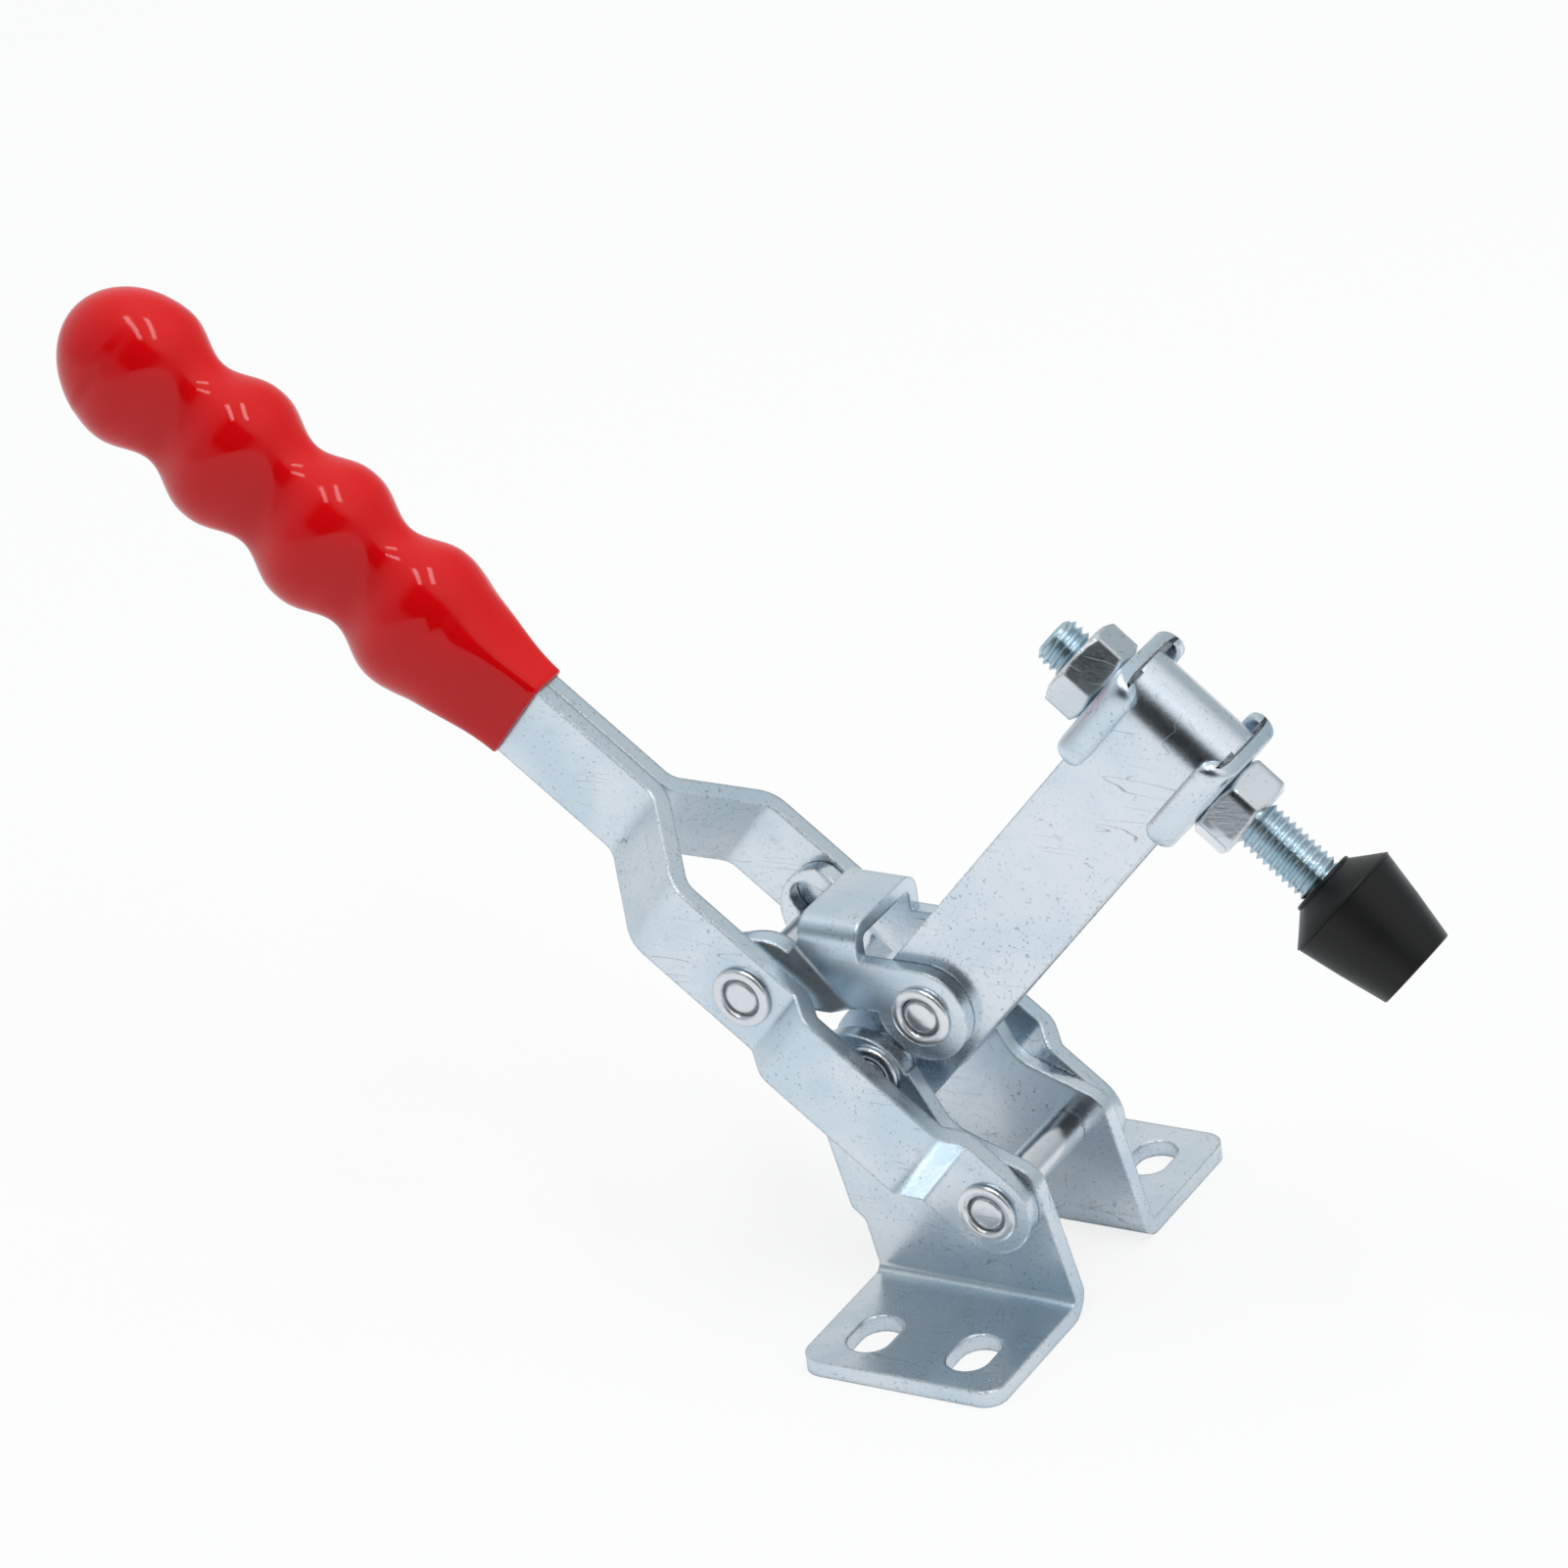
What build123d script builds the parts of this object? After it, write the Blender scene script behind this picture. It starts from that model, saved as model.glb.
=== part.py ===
from build123d import *
import os
from math import atan2, cos, degrees, hypot, radians, sin, sqrt, tan

# Vertical toggle clamp with a U-shaped hold-down bar and a hand grip.
# Frame: +X points from the grip to the clamping spindle, +Z up, and the clamp is
# symmetric about Y = 0. The origin lies on the foot underside, under the handle pivot.

os.makedirs("parts", exist_ok=True)

# ---------------------------------------------------------------- driving dimensions
# Base: two bent plates, mirrored
base_sheet = 2.8
base_gap = 20.4
base_bend_inner_radius = 1.5
foot_reach = 39.7
foot_front = 11.7
foot_rear = 22.8
foot_corner_radius = 3.5
slot_pitch_x = 17.3
slot_pitch_y = 60.06
slot_middle_x = -5.75
slot_width = 7.0
slot_length = 10.5
base_ear_radius = 9.35
base_ear_x = -22.0
base_ear_height = 35.5
web_front_x = 6.9
web_front_rise = 5.8
web_saddle_x = -7.6
web_saddle_rise = 10.9
web_saddle_radius = 5.0
web_neck_x = -12.9
web_neck_height = 39.6
web_neck_radius = 7.0
web_rear_x = -26.4
web_rear_drop = 5.6
web_heel_overhang = 1.4
web_heel_drop = 7.6
web_heel_radius = 1.5

# Pivots: A handle, B bar, C link to bar, D link to handle
pivot_height = 19.1
bar_pivot_x = -19.6
bar_pivot_height = 38.45
link_pivot_along_bar = 13.18
link_pivot_along_handle = 50.0

# Rivets and spacers
shank_diameter = 5.0
rivet_head_diameter = 9.9
rivet_head_height = 0.9
rivet_recess_diameter = 6.2
rivet_recess_depth = 0.55
rivet_head_chamfer = 0.3
sleeve_wall = 0.6
pivot_spacer_diameter = 9.0

# Handle: two cranked plates that meet inside the grip
handle_angle = 140.8
handle_sheet = 3.0
handle_width = 14.5
handle_length = 184.0
handle_near_end = 68.2
handle_far_end = 80.8
handle_bend_radius = 5.0
joggle_depth = 3.25
joggle_start = 13.3
joggle_end = 39.5
joggle_run = 3.75
joggle_bend_radius = 2.6

# Grip, moulded over the plates: half heights and half thicknesses of its oval sections
grip_start = 105.3
grip_length = 96.7
grip_pocket_play = 0.05
grip_axis_offset = 0.2
grip_section_spacing = 4.0
grip_end_flat = 0.6
mouth_half_height = 9.7
mouth_half_thickness = 5.6
bulge_half_height = 12.9
bulge_half_thickness = 10.0
waist_half_height = 10.3
waist_half_thickness = 8.9
first_bulge_start = 22.6
finger_pitch = 19.6

# Hold-down bar: one strip folded back on itself
bar_angle = 49.0
bar_sheet = 3.0
bar_height = 18.4
bar_gap = 8.6
bar_bend_from_link_pivot = 67.0
bar_round_radius = 9.2

# Link: one stamped saddle
link_sheet = 2.5
link_ear_gap = 14.8
link_lug_gap = 20.8
link_ear_radius = 7.7
link_lug_radius = 8.2
link_web_height = 62.0
link_web_rear = -31.4
link_web_front = -21.2
link_bend_inner_radius = 1.0
link_waist_drop = 3.3
link_waist_share = 0.45
link_rear_slope_x = 1.2
link_rear_slope_z = 1.5
lug_fold_angle = 41.7
lug_step_start = 5.0
lug_step_run = 4.0
lug_step_bend_radius = 2.5
lug_hole_front = 1.9
lug_hole_low = 1.2
lug_hole_back = 3.5
lug_hole_rise = 2.3

# Spindle with its clamp washers, nuts and rubber tip
spindle_from_link_pivot = 64.3
spindle_diameter = 8.0
spindle_chamfer = 0.9
spindle_above_bar_axis = 22.7
spindle_socket_depth = 4.0
washer_length = 18.5
washer_sheet = 2.2
washer_flange_depth = 2.8
washer_corner_radius = 3.0
washer_bend_inner_radius = 0.3
washer_bend_outer_radius = 2.8
nut_across_flats = 13.0
nut_height = 6.5
nut_chamfer = 0.6
upper_nut_turn = 45.0
lower_nut_turn = 19.0
tip_bottom_from_bar_axis = 50.0
tip_height = 19.1
tip_shoulder_drop = 4.1
tip_rim_diameter = 19.6
tip_base_diameter = 13.6
tip_lip = 0.3
tip_edge_radius = 1.0

# Clearances
face_clearance = 0.05
running_clearance = 0.05
bar_side_clearance = 0.1
spindle_hole_clearance = 0.2
open_pivot_clearance = 0.35

# ------------------------------------------------------------------ derived positions
base_inner = base_gap / 2
base_outer = base_inner + base_sheet
handle_inner = base_outer + face_clearance
handle_middle = handle_inner + handle_sheet / 2
bar_inner = bar_gap / 2
bar_outer = bar_inner + bar_sheet
bar_middle = bar_inner + bar_sheet / 2
link_ear_inner = link_ear_gap / 2
link_ear_outer = link_ear_inner + link_sheet
link_lug_inner = link_lug_gap / 2
link_lug_outer = link_lug_inner + link_sheet
shank_radius = shank_diameter / 2
shank_hole_radius = shank_radius + running_clearance
sleeve_bore_radius = shank_hole_radius
sleeve_radius = sleeve_bore_radius + sleeve_wall

# Unit vectors in the side view (X, Z)
bar_dir = (cos(radians(bar_angle)), sin(radians(bar_angle)))
handle_dir = (cos(radians(handle_angle)), sin(radians(handle_angle)))
link_pivot_x = bar_pivot_x + link_pivot_along_bar * bar_dir[0]
link_pivot_z = bar_pivot_height + link_pivot_along_bar * bar_dir[1]
lug_pivot_x = link_pivot_along_handle * handle_dir[0]
lug_pivot_z = pivot_height + link_pivot_along_handle * handle_dir[1]
link_angle = degrees(atan2(link_pivot_z - lug_pivot_z, link_pivot_x - lug_pivot_x))

# Side-view planes: local x along the part, extrusion towards -Y
side = Plane(origin=(0, 0, 0), x_dir=(1, 0, 0), z_dir=(0, -1, 0))
handle_side = Plane(origin=(0, 0, pivot_height), x_dir=(handle_dir[0], 0, handle_dir[1]), z_dir=(0, -1, 0))
bar_side = Plane(origin=(link_pivot_x, 0, link_pivot_z), x_dir=(bar_dir[0], 0, bar_dir[1]), z_dir=(0, -1, 0))

# Top-view planes of the handle and of the bar: local x along the part, local y towards -Y
handle_top = Plane(
    origin=(0, 0, pivot_height),
    x_dir=(handle_dir[0], 0, handle_dir[1]),
    z_dir=(handle_dir[1], 0, -handle_dir[0]),
)
bar_top = Plane(
    origin=(link_pivot_x, 0, link_pivot_z),
    x_dir=(bar_dir[0], 0, bar_dir[1]),
    z_dir=(bar_dir[1], 0, -bar_dir[0]),
)

# Spindle frame: local z along the spindle towards the tip, zero on the bar axis
spindle_origin = (
    link_pivot_x + spindle_from_link_pivot * bar_dir[0],
    0,
    link_pivot_z + spindle_from_link_pivot * bar_dir[1],
)
spindle_plane = Plane(
    origin=spindle_origin,
    x_dir=(bar_dir[0], 0, bar_dir[1]),
    z_dir=(bar_dir[1], 0, -bar_dir[0]),
)
spindle_axis = Axis(spindle_origin, (bar_dir[1], 0, -bar_dir[0]))
# Half-section plane of the spindle: local x is the radius, local y points away from the tip
spindle_side = Plane(origin=spindle_origin, x_dir=(bar_dir[0], 0, bar_dir[1]), z_dir=(0, -1, 0))
washer_face = bar_height / 2 + bar_side_clearance
nut_face = washer_face + washer_sheet
tip_top = tip_bottom_from_bar_axis - tip_height


def write(part, name):
    part.label = name
    export_step(part, f"parts/{name}.step")


# ------------------------------------------------------------------------ base plates
bend_top = base_bend_inner_radius + base_sheet

with BuildPart() as base_plate_near:
    # Upright web with the ear that carries the bar
    with BuildSketch(side.offset(base_inner)):
        with BuildLine():
            FilletPolyline(
                (-foot_rear, bend_top),
                (foot_front, bend_top),
                (web_front_x, pivot_height + web_front_rise),
                (web_saddle_x, pivot_height + web_saddle_rise),
                (web_neck_x, web_neck_height),
                (base_ear_x, base_ear_height),
                (base_ear_x - base_ear_radius, base_ear_height),
                (web_rear_x, pivot_height - web_rear_drop),
                (-foot_rear - web_heel_overhang, pivot_height - web_heel_drop),
                radius=(0, 0, web_saddle_radius, web_neck_radius, 0, 0, 0, web_heel_radius, web_heel_radius),
                close=True,
            )
        make_face()
        with Locations((base_ear_x, base_ear_height)):
            Circle(base_ear_radius)
        with Locations((0, pivot_height), (bar_pivot_x, bar_pivot_height)):
            Circle(shank_hole_radius, mode=Mode.SUBTRACT)
    extrude(amount=base_sheet)
    # Bend and foot
    with BuildSketch(Plane.YZ.offset(-foot_rear)):
        with BuildLine():
            Polyline(
                (-base_inner, bend_top),
                (-base_outer, bend_top),
            )
            RadiusArc(
                (-base_outer, bend_top),
                (-base_outer - base_bend_inner_radius, base_sheet),
                base_bend_inner_radius,
            )
            Polyline(
                (-base_outer - base_bend_inner_radius, base_sheet),
                (-foot_reach, base_sheet),
                (-foot_reach, 0),
                (-base_inner - bend_top, 0),
            )
            RadiusArc(
                (-base_inner - bend_top, 0),
                (-base_inner, bend_top),
                -bend_top,
            )
        make_face()
    extrude(amount=foot_rear + foot_front)
    foot_corners = base_plate_near.edges().filter_by(Axis.Z).filter_by_position(
        Axis.Y, -foot_reach - 0.01, -foot_reach + 0.01
    )
    fillet(foot_corners, foot_corner_radius)
    with BuildSketch(Plane.XY):
        with Locations(
            (slot_middle_x - slot_pitch_x / 2, -slot_pitch_y / 2),
            (slot_middle_x + slot_pitch_x / 2, -slot_pitch_y / 2),
        ):
            SlotOverall(slot_length, slot_width, rotation=90)
    extrude(amount=base_sheet, mode=Mode.SUBTRACT)

with BuildPart() as base_plate_far:
    add(mirror(base_plate_near.part, about=Plane.XZ))

write(base_plate_near.part, "base_plate_near")
write(base_plate_far.part, "base_plate_far")

# ---------------------------------------------------------------------- handle plates
joggle_middle = handle_middle + joggle_depth
stack_middle = handle_sheet / 2
handle_round = handle_width / 2

with BuildPart() as handle_plate_near:
    # Plan view of the cranked strip, swept over the strip's width
    with BuildSketch(handle_top):
        with BuildLine():
            FilletPolyline(
                (-handle_round, handle_middle),
                (joggle_start - joggle_run, handle_middle),
                (joggle_start, joggle_middle),
                (joggle_end, joggle_middle),
                (joggle_end + joggle_run, handle_middle),
                (handle_near_end, handle_middle),
                (handle_far_end, stack_middle),
                (handle_length, stack_middle),
                radius=(
                    joggle_bend_radius,
                    joggle_bend_radius,
                    joggle_bend_radius,
                    joggle_bend_radius,
                    handle_bend_radius,
                    handle_bend_radius,
                ),
            )
        trace(line_width=handle_sheet)
    extrude(amount=handle_width / 2, both=True)
    # Side view: rounded ends and the two pivot holes
    with BuildSketch(handle_side):
        with Locations(((handle_length - handle_round) / 2, 0)):
            SlotOverall(handle_length + handle_round, handle_width)
        with Locations((0, 0), (link_pivot_along_handle, 0)):
            Circle(shank_hole_radius, mode=Mode.SUBTRACT)
    extrude(amount=joggle_middle + handle_sheet, mode=Mode.INTERSECT)

with BuildPart() as handle_plate_far:
    add(mirror(handle_plate_near.part, about=Plane.XZ))

write(handle_plate_near.part, "handle_plate_near")
write(handle_plate_far.part, "handle_plate_far")

# ------------------------------------------------------------------------------- grip
def grip_section(distance):
    """Half height and half thickness of the grip's section at a distance from the mouth."""
    last_bulge_start = first_bulge_start + 3 * finger_pitch
    if distance < first_bulge_start:
        # Swells from the mouth to the first bulge
        share = distance / first_bulge_start
        swell = share**3 * (4 - 3 * share)
        return (
            mouth_half_height + swell * (bulge_half_height - mouth_half_height),
            mouth_half_thickness + sin(radians(90 * share)) * (bulge_half_thickness - mouth_half_thickness),
        )
    if distance < last_bulge_start:
        # Three finger hollows between four bulges
        hollow = sin(radians(180 * (distance - first_bulge_start) / finger_pitch)) ** 2
        return (
            bulge_half_height - hollow * (bulge_half_height - waist_half_height),
            bulge_half_thickness - hollow * (bulge_half_thickness - waist_half_thickness),
        )
    # Rounded end
    share = (distance - last_bulge_start) / (grip_length - last_bulge_start)
    taper = sqrt(1 - share**2)
    return bulge_half_height * taper, bulge_half_thickness * taper


with BuildPart() as grip:
    section_count = round(grip_length / grip_section_spacing)
    for index in range(section_count + 1):
        distance = (grip_length - grip_end_flat) * index / section_count
        half_height, half_thickness = grip_section(distance)
        along = grip_start + distance
        section = Plane(
            origin=(along * handle_dir[0], 0, pivot_height + along * handle_dir[1]),
            x_dir=(0, 1, 0),
            z_dir=(handle_dir[0], 0, handle_dir[1]),
        )
        with BuildSketch(section):
            with Locations((0, grip_axis_offset)):
                Ellipse(half_thickness, half_height)
    loft()
    # Pocket for the two stacked plates
    pocket_start = grip_start - 1
    pocket_end = handle_length + grip_pocket_play
    with BuildSketch(handle_top):
        with Locations(((pocket_start + pocket_end) / 2, 0)):
            Rectangle(pocket_end - pocket_start, 2 * handle_sheet + 2 * grip_pocket_play)
    extrude(amount=handle_width / 2 + grip_pocket_play, both=True, mode=Mode.SUBTRACT)

write(grip.part, "grip")

# -------------------------------------------------------------------------------- bar
with BuildPart() as bar:
    # Plan view of the folded strip
    lower_end = -link_pivot_along_bar - bar_round_radius
    with BuildSketch(bar_top):
        with BuildLine():
            Line((lower_end, bar_middle), (bar_bend_from_link_pivot, bar_middle))
            RadiusArc(
                (bar_bend_from_link_pivot, bar_middle),
                (bar_bend_from_link_pivot, -bar_middle),
                bar_middle,
            )
            Line((bar_bend_from_link_pivot, -bar_middle), (lower_end, -bar_middle))
        trace(line_width=bar_sheet)
    extrude(amount=bar_height / 2, both=True)
    # Side view: lower ends rounded about the bar pivot, and the two pivot holes
    with BuildSketch(bar_side):
        bar_front = bar_bend_from_link_pivot + bar_outer
        with Locations(((bar_front - link_pivot_along_bar) / 2, 0)):
            Rectangle(bar_front + link_pivot_along_bar, bar_height)
        with Locations((-link_pivot_along_bar, 0)):
            Circle(bar_round_radius)
        with Locations((0, 0), (-link_pivot_along_bar, 0)):
            Circle(shank_hole_radius, mode=Mode.SUBTRACT)
    extrude(amount=bar_outer, both=True, mode=Mode.INTERSECT)

write(bar.part, "bar")

# ------------------------------------------------------------------------------- link
link_outer_bend = link_bend_inner_radius + link_sheet
link_ear_top = link_web_height - link_outer_bend
link_length = hypot(link_pivot_x - lug_pivot_x, link_pivot_z - lug_pivot_z)
ear_middle = link_ear_inner + link_sheet / 2
lug_middle = link_lug_inner + link_sheet / 2
fold_dir = (cos(radians(lug_fold_angle)), sin(radians(lug_fold_angle)))
lug_side = Plane(
    origin=(lug_pivot_x, 0, lug_pivot_z),
    x_dir=(cos(radians(link_angle)), 0, sin(radians(link_angle))),
    z_dir=(0, -1, 0),
)
# Section across the fold: local x away from the lug pivot, local y towards -Y
fold_top = Plane(
    origin=(lug_pivot_x, 0, lug_pivot_z),
    x_dir=(fold_dir[0], 0, fold_dir[1]),
    z_dir=(fold_dir[1], 0, -fold_dir[0]),
)

with BuildPart() as link_ear:
    # Ear strip with the slanted step out to the lug
    with BuildSketch(fold_top):
        with BuildLine():
            FilletPolyline(
                (-2 * link_lug_radius, lug_middle),
                (lug_step_start, lug_middle),
                (lug_step_start + lug_step_run, ear_middle),
                (link_length + 2 * link_ear_radius, ear_middle),
                radius=lug_step_bend_radius,
            )
        trace(line_width=link_sheet)
    extrude(amount=2 * link_length, both=True)
    # Side view of the ear
    with BuildSketch(side):
        with BuildLine():
            Polyline(
                (link_pivot_x, link_pivot_z),
                (link_pivot_x, link_pivot_z + link_ear_radius),
                (link_web_front, link_pivot_z + link_ear_radius),
                (link_web_front, link_ear_top),
                (link_web_rear, link_ear_top),
                (link_web_rear - link_rear_slope_x, link_ear_top - link_rear_slope_z),
                (lug_pivot_x, lug_pivot_z),
                (lug_pivot_x + link_waist_share * link_length, lug_pivot_z - link_waist_drop),
                close=True,
            )
        make_face()
        with Locations((link_pivot_x, link_pivot_z)):
            Circle(link_ear_radius)
        with Locations((lug_pivot_x, lug_pivot_z)):
            Circle(link_lug_radius)
        with Locations((link_pivot_x, link_pivot_z)):
            Circle(shank_hole_radius, mode=Mode.SUBTRACT)
    extrude(amount=link_lug_outer, mode=Mode.INTERSECT)
    # Long hole for the lug pivot
    with BuildSketch(lug_side):
        with BuildLine():
            for shift, rise in ((lug_hole_front, 0), (-lug_hole_low, 0), (-lug_hole_back, lug_hole_rise)):
                CenterArc((shift, rise), shank_radius + open_pivot_clearance, 0, 360)
        make_hull()
    extrude(amount=link_lug_outer, mode=Mode.SUBTRACT)

with BuildPart() as link:
    # Cross-web and both bends
    with BuildSketch(Plane.YZ.offset(link_web_rear)):
        with Locations((0, link_web_height - link_outer_bend)):
            Rectangle(2 * link_ear_outer, 2 * link_outer_bend)
        fillet(vertices().group_by(Axis.Y)[-1], link_outer_bend)
        with Locations((0, link_ear_top - link_outer_bend / 2)):
            Rectangle(2 * link_ear_outer, link_outer_bend, mode=Mode.SUBTRACT)
        with Locations((0, link_web_height - link_sheet - link_outer_bend)):
            RectangleRounded(2 * link_ear_inner, 2 * link_outer_bend, link_bend_inner_radius, mode=Mode.SUBTRACT)
    extrude(amount=link_web_front - link_web_rear)
    add(link_ear.part)
    add(mirror(link_ear.part, about=Plane.XZ))

write(link.part, "link")

# --------------------------------------------------------------------- rivets, spacers
head_radius = rivet_head_diameter / 2
recess_radius = rivet_recess_diameter / 2
pivots = {
    "a": (0, pivot_height, handle_middle + handle_sheet / 2, base_inner),
    "b": (bar_pivot_x, bar_pivot_height, base_outer, bar_inner),
    "c": (link_pivot_x, link_pivot_z, link_ear_outer, bar_inner),
    "d": (lug_pivot_x, lug_pivot_z, handle_middle + handle_sheet / 2, link_lug_inner),
}

for key, (x, z, reach, sleeve_reach) in pivots.items():
    head_start = reach + face_clearance
    head_end = head_start + rivet_head_height
    with BuildPart() as rivet:
        with BuildSketch(Plane(origin=(x, 0, z), x_dir=(1, 0, 0), z_dir=(0, 0, 1))):
            with BuildLine():
                Polyline(
                    (0, 0),
                    (shank_radius, 0),
                    (shank_radius, head_start),
                    (head_radius, head_start),
                    (head_radius, head_end - rivet_head_chamfer),
                    (head_radius - rivet_head_chamfer, head_end),
                    (recess_radius, head_end),
                    (recess_radius, head_end - rivet_recess_depth),
                    (0, head_end - rivet_recess_depth),
                    close=True,
                )
            make_face()
        revolve(axis=Axis((x, 0, z), (0, 1, 0)))
        mirror(about=Plane.XZ)
    write(rivet.part, f"rivet_{key}")

    with BuildPart() as sleeve:
        with BuildSketch(side):
            with Locations((x, z)):
                Circle(sleeve_radius)
                Circle(sleeve_bore_radius, mode=Mode.SUBTRACT)
        extrude(amount=sleeve_reach - face_clearance, both=True)
    write(sleeve.part, f"sleeve_{key}")

# Spacers between the bar and the base ears
with BuildPart() as bar_spacer_near:
    with BuildSketch(side.offset(bar_outer + face_clearance)):
        with Locations((bar_pivot_x, bar_pivot_height)):
            Circle(pivot_spacer_diameter / 2)
            Circle(sleeve_bore_radius, mode=Mode.SUBTRACT)
    extrude(amount=base_inner - bar_outer - 2 * face_clearance)

with BuildPart() as bar_spacer_far:
    add(mirror(bar_spacer_near.part, about=Plane.XZ))

write(bar_spacer_near.part, "bar_spacer_near")
write(bar_spacer_far.part, "bar_spacer_far")

# ----------------------------------------------------- spindle, washers, nuts and tip
spindle_radius = spindle_diameter / 2

with BuildPart() as spindle:
    with BuildSketch(spindle_plane.offset(-spindle_above_bar_axis)):
        Circle(spindle_radius)
    extrude(amount=spindle_above_bar_axis + tip_top + spindle_socket_depth)
    chamfer(spindle.edges().filter_by(GeomType.CIRCLE), spindle_chamfer)

write(spindle.part, "spindle")

with BuildPart() as tip:
    with BuildSketch(spindle_side):
        with BuildLine():
            Polyline(
                (0, -tip_bottom_from_bar_axis),
                (tip_base_diameter / 2, -tip_bottom_from_bar_axis),
                (tip_rim_diameter / 2, -tip_top - tip_shoulder_drop),
                (spindle_radius + tip_lip, -tip_top),
                (spindle_radius, -tip_top),
                (spindle_radius, -tip_top - spindle_socket_depth),
                (0, -tip_top - spindle_socket_depth),
                close=True,
            )
        make_face()
        fillet(vertices().sort_by(Axis.X)[-1:], tip_edge_radius)
    revolve(axis=spindle_axis)

write(tip.part, "tip")

washer_half_width = bar_outer + bar_side_clearance + washer_sheet
for name, y_dir in (("washer_upper", 1), ("washer_lower", -1)):
    # Channel section across the bar, local y away from the bar axis
    section = Plane(origin=spindle_origin, x_dir=(0, y_dir, 0), z_dir=(bar_dir[0], 0, bar_dir[1]))
    with BuildPart() as washer:
        with BuildSketch(section):
            with Locations((0, nut_face - (washer_sheet + washer_flange_depth) / 2)):
                Rectangle(2 * washer_half_width, washer_sheet + washer_flange_depth)
            fillet(vertices().group_by(Axis.Y)[-1], washer_bend_outer_radius)
            with Locations((0, washer_face - washer_flange_depth)):
                RectangleRounded(
                    2 * (bar_outer + bar_side_clearance),
                    2 * washer_flange_depth,
                    washer_bend_inner_radius,
                    mode=Mode.SUBTRACT,
                )
        extrude(amount=washer_length / 2, both=True)
        with BuildSketch(spindle_plane):
            RectangleRounded(washer_length, 2 * washer_half_width, washer_corner_radius)
            Circle(spindle_radius + spindle_hole_clearance, mode=Mode.SUBTRACT)
        extrude(amount=nut_face, both=True, mode=Mode.INTERSECT)
    write(washer.part, name)

nut_corner_radius = nut_across_flats / 2 / cos(radians(30))
for name, start, turn in (
    ("nut_upper", -nut_face - nut_height, upper_nut_turn),
    ("nut_lower", nut_face, lower_nut_turn),
):
    with BuildPart() as nut:
        with BuildSketch(spindle_plane.offset(start)):
            RegularPolygon(nut_across_flats / 2, 6, major_radius=False, rotation=-turn)
            Circle(spindle_radius + running_clearance, mode=Mode.SUBTRACT)
        extrude(amount=nut_height)
        # Corners chamfered at 30 degrees
        end = start + nut_height
        slope = nut_chamfer * tan(radians(30))
        with BuildSketch(spindle_side):
            with BuildLine():
                Polyline(
                    (0, -start),
                    (nut_corner_radius - nut_chamfer, -start),
                    (nut_corner_radius, -start - slope),
                    (nut_corner_radius, -end + slope),
                    (nut_corner_radius - nut_chamfer, -end),
                    (0, -end),
                    close=True,
                )
            make_face()
        revolve(axis=spindle_axis, mode=Mode.INTERSECT)
    write(nut.part, name)
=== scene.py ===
"""Looks of the vertical toggle clamp: its camera, studio, finishes and fine shapes."""

import math

import bpy
from mathutils import Matrix, Vector


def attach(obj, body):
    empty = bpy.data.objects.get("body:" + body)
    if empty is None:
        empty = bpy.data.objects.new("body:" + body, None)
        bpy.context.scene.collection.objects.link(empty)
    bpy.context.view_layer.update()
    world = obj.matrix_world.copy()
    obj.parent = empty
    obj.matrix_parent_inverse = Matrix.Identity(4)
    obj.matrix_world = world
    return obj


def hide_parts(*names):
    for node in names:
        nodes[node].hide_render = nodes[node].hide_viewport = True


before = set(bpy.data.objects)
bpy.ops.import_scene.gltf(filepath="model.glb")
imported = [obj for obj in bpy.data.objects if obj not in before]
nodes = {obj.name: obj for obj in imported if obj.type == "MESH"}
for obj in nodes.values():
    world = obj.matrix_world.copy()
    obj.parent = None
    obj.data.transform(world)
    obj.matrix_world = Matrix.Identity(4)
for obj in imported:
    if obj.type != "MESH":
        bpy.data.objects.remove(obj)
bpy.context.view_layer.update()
scene = bpy.context.scene
scene.view_settings.view_transform = "Standard"

# ---------------------------------------------------------------- camera
MM = 0.001
# Angles in degrees; lengths in metres, the lens and sensor in millimetres
VIEW_TURN = 33.18
VIEW_HEIGHT = 27.07
VIEW_ROLL = 8.16
VIEW_DISTANCE = 1.0911
VIEW_SHIFT = (-0.03896, 0.05803)
HANDLE_PIVOT_HEIGHT = 0.0191
LENS = 162.42
SENSOR = 36.0


def direction(turn, height):
    """The unit vector to a place on the sky, in degrees: turn from -Y to +X, height above level."""
    t = math.radians(turn)
    h = math.radians(height)
    return Vector((math.sin(t) * math.cos(h), -math.cos(t) * math.cos(h), math.sin(h)))


def place_camera():
    """The one camera, looking down at the clamp from its front right."""
    back = direction(VIEW_TURN, VIEW_HEIGHT)
    turn = math.radians(VIEW_TURN)
    roll = math.radians(VIEW_ROLL)
    level = Vector((math.cos(turn), math.sin(turn), 0))
    up = back.cross(level)
    right = level * math.cos(roll) - up * math.sin(roll)
    over = level * math.sin(roll) + up * math.cos(roll)
    eye = right * VIEW_SHIFT[0] + over * VIEW_SHIFT[1] + back * VIEW_DISTANCE
    eye.z += HANDLE_PIVOT_HEIGHT
    camera = bpy.data.objects.new("camera", bpy.data.cameras.new("camera"))
    camera.data.lens = LENS
    camera.data.sensor_width = SENSOR
    camera.data.clip_end = 100
    facing = Matrix((right, over, back)).transposed().to_4x4()
    camera.matrix_world = Matrix.Translation(eye) @ facing
    scene.collection.objects.link(camera)
    scene.camera = camera


place_camera()


# ---------------------------------------------------------------- node helpers
def new_material(name):
    """An empty node material and its node tree."""
    material = bpy.data.materials.new(name)
    material.use_nodes = True
    tree = material.node_tree
    tree.nodes.clear()
    return material, tree


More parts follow.
